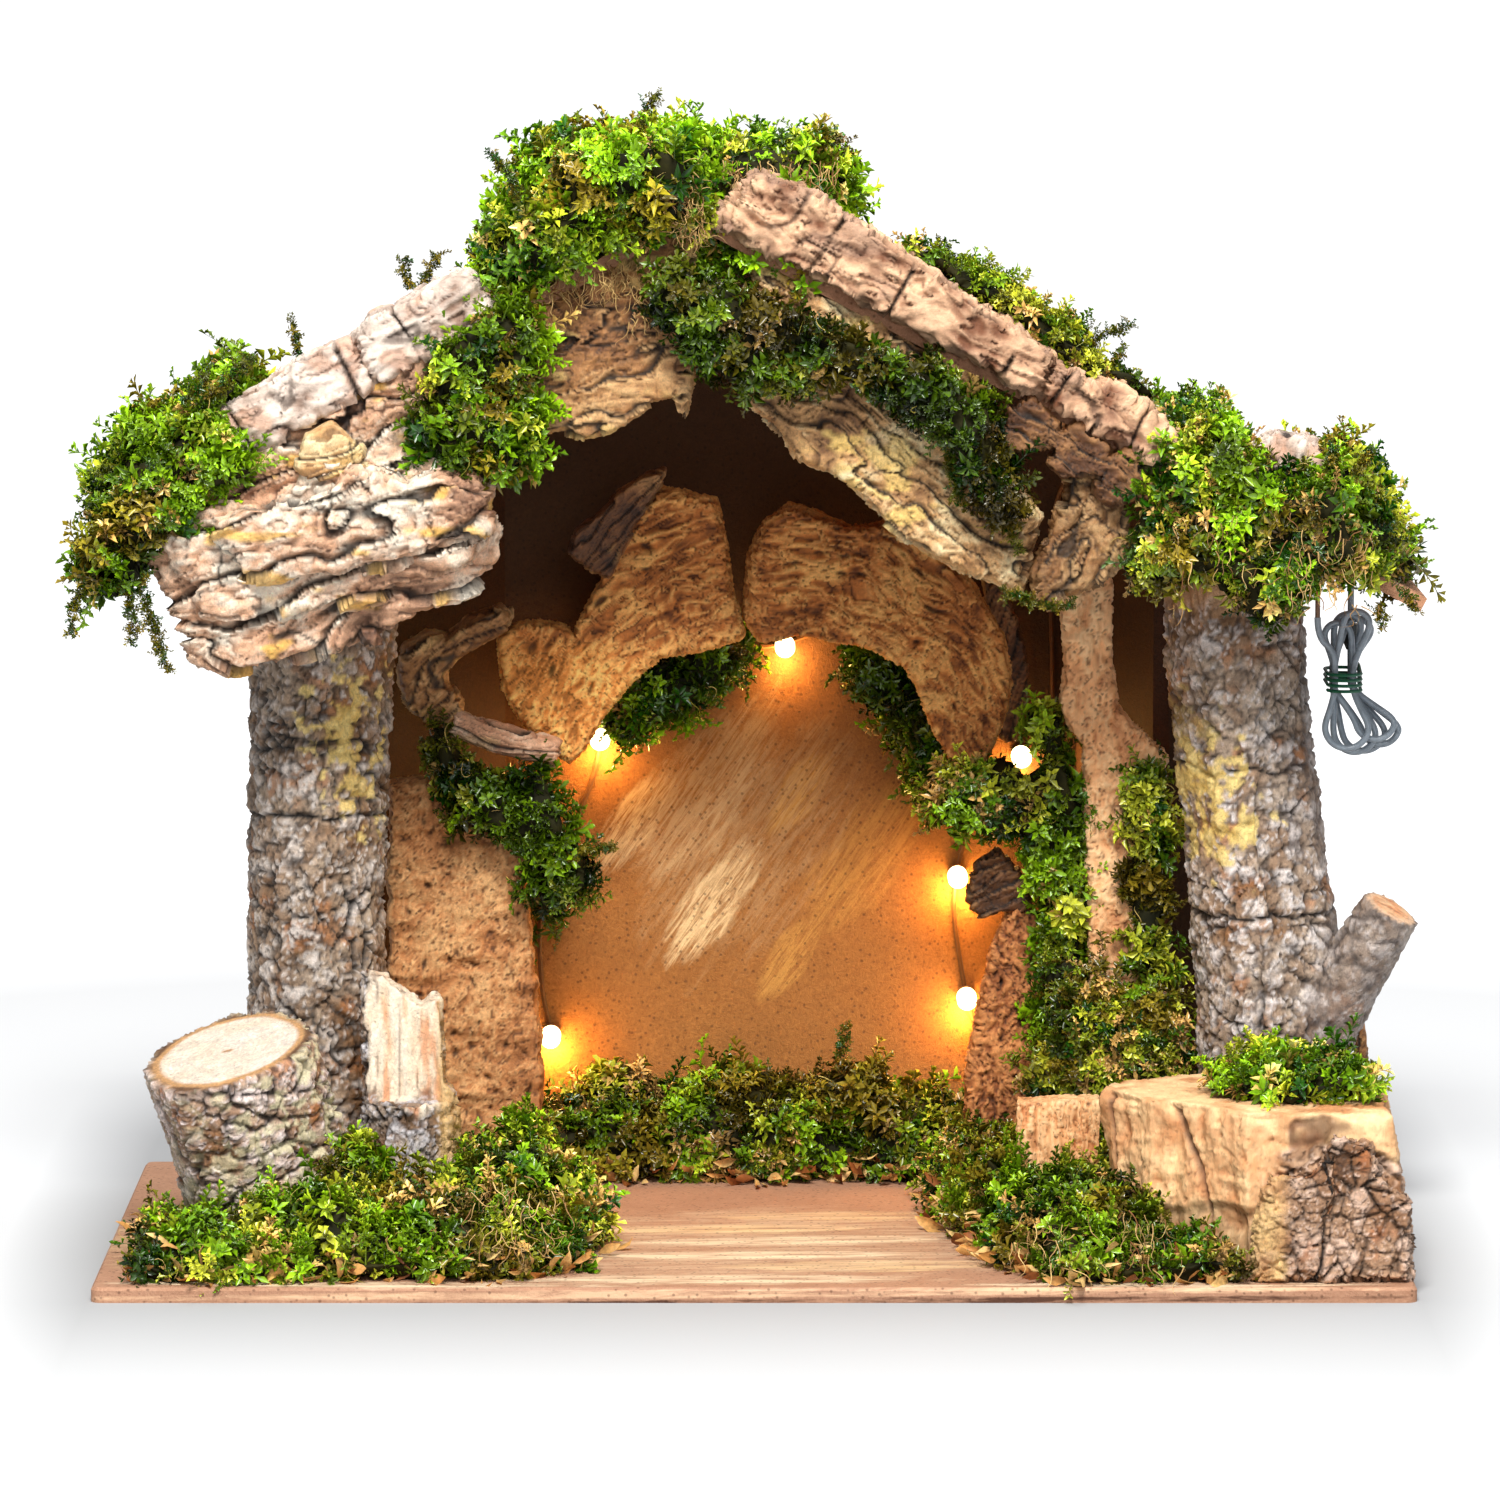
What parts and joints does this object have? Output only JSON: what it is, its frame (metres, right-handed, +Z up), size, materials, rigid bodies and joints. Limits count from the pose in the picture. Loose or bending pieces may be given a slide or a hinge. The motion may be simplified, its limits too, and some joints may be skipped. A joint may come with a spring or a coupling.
{
  "type": "nativity stable",
  "caption": "Rustic open-front stable of hardboard, bark, cork and moss on a board, with a string of tiny warm lights inside and its wire hanging in a small tied bundle under the eave.",
  "frame": {"origin": "centre of the base board's underside", "axes": "+X to the right of the open front, +Y from the open front to the back wall, +Z up"},
  "size_m": [0.367, 0.2, 0.3149],
  "materials": {
    "hardboard_base": "brown hardboard with dry cream brush strokes",
    "hardboard": "brown hardboard, matt, with fine dark fibre specks",
    "branch_bark": "rough grey-brown bark",
    "cut_wood": "split cream wood over grey bark",
    "pale_bark": "weathered whitish bark",
    "tan_bark": "rough pinkish tan bark",
    "cork": "rough brown cork bark",
    "grey_cork": "layered grey cork bark",
    "dark_bark": "dark brown bark",
    "moss": "dry leafy moss",
    "green_wire": "dark green insulated wire",
    "grey_wire": "grey insulated wire",
    "dark_plastic": "moulded dark plastic",
    "lamp_glass": "clear glass, lit warm white"
  },
  "bodies": {
    "root": {"base_board": "hardboard_base", "back_wall": "hardboard", "roof_panel_left": "hardboard", "roof_panel_right": "hardboard", "side_panel_left": "hardboard", "side_panel_right": "hardboard", "post_left": "branch_bark", "post_right": "branch_bark", "stump": "branch_bark", "split_log": "cut_wood", "verge_bark_left_upper": "pale_bark", "verge_bark_left_lower": "pale_bark", "verge_bark_right_upper": "tan_bark", "verge_bark_right_lower": "tan_bark", "roof_knob": "pale_bark", "gable_bark_top": "cork", "gable_bark_right": "cork", "gable_bark_far_right": "cork", "gable_chips": "dark_bark", "eave_bark_left": "grey_cork", "eave_chip_left": "cork", "arch_left": "grey_cork", "arch_right": "cork", "arch_peel": "tan_bark", "arch_curl": "dark_bark", "side_bark_left": "cork", "knot_bark": "grey_cork", "roll_bark": "grey_cork", "branch_bark": "cork", "inner_cork_right": "cork", "inner_chip_right": "dark_bark", "cork_block": "cork", "block_flakes": "grey_cork", "ribbed_cork": "cork", "rear_strip_right": "tan_bark", "moss_ridge": "moss", "moss_verge_right": "moss", "moss_eave_left": "moss", "moss_eave_right": "moss", "moss_gable_left": "moss", "moss_gable_right": "moss", "moss_inner_left": "moss", "moss_inner_right": "moss", "moss_behind_arch": "moss", "moss_back": "moss", "moss_base_left": "moss", "moss_base_right": "moss", "moss_block": "moss", "light_string": "green_wire", "light_bulb_1": "lamp_glass", "light_bulb_2": "lamp_glass", "light_bulb_3": "lamp_glass", "light_bulb_4": "lamp_glass", "light_bulb_5": "lamp_glass", "light_bulb_6": "lamp_glass", "lead_cord": "grey_wire", "lead_hank": "grey_wire", "lead_tie": "green_wire", "lead_connector": "dark_plastic", "lead_tail": "grey_wire"}
  },
  "joints": []
}
